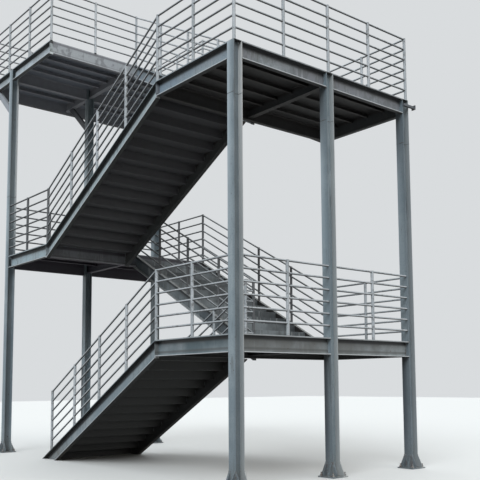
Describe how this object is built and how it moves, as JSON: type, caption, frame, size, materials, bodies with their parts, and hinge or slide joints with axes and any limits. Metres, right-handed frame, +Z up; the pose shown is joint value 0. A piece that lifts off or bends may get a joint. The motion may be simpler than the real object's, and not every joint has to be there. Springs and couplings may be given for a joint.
{
  "type": "fire escape stair",
  "caption": "Free-standing outdoor steel stair that turns back on itself between H columns, with landings, pipe railings and ties to a wall.",
  "frame": {"origin": "on the ground, on the axis of the front right column, at the underside of its base plate", "axes": "+X along the flights towards the right landings, +Y across them towards the building, +Z up"},
  "size_m": [9.175, 4.1155, 9.52],
  "materials": {
    "column_paint": "weathered grey paint on rolled steel",
    "frame_paint": "weathered grey paint on rolled channels",
    "plate_paint": "worn dark grey paint on steel plate",
    "railing_paint": "weathered light grey paint on steel pipe"
  },
  "bodies": {
    "root": {"front_right_column": "column_paint", "middle_right_column": "column_paint", "back_right_column": "column_paint", "front_left_column": "column_paint", "middle_left_column": "column_paint", "back_left_column": "column_paint", "landing_1_frame": "frame_paint", "landing_1_deck": "plate_paint", "landing_2_frame": "frame_paint", "landing_2_deck": "plate_paint", "landing_3_frame": "frame_paint", "landing_3_deck": "plate_paint", "landing_4_frame": "frame_paint", "landing_4_deck": "plate_paint", "flight_1_stringers": "frame_paint", "flight_1_steps": "plate_paint", "flight_1_outer_railing": "railing_paint", "flight_1_inner_railing": "railing_paint", "flight_2_stringers": "frame_paint", "flight_2_steps": "plate_paint", "flight_2_outer_railing": "railing_paint", "flight_2_inner_railing": "railing_paint", "flight_3_stringers": "frame_paint", "flight_3_steps": "plate_paint", "flight_3_outer_railing": "railing_paint", "flight_3_inner_railing": "railing_paint", "flight_4_stringers": "frame_paint", "flight_4_steps": "plate_paint", "flight_4_outer_railing": "railing_paint", "flight_4_inner_railing": "railing_paint", "landing_1_front_railing": "railing_paint", "landing_1_right_railing": "railing_paint", "landing_1_back_railing": "railing_paint", "landing_2_front_railing": "railing_paint", "landing_2_left_railing": "railing_paint", "landing_2_back_railing": "railing_paint", "landing_3_front_railing": "railing_paint", "landing_3_right_railing": "railing_paint", "landing_3_back_railing": "railing_paint", "landing_4_front_railing": "railing_paint", "landing_4_right_railing": "railing_paint", "landing_4_left_railing": "railing_paint", "landing_4_back_railing": "railing_paint", "top_landing_braces": "frame_paint", "wall_ties": "frame_paint"}
  },
  "joints": []
}
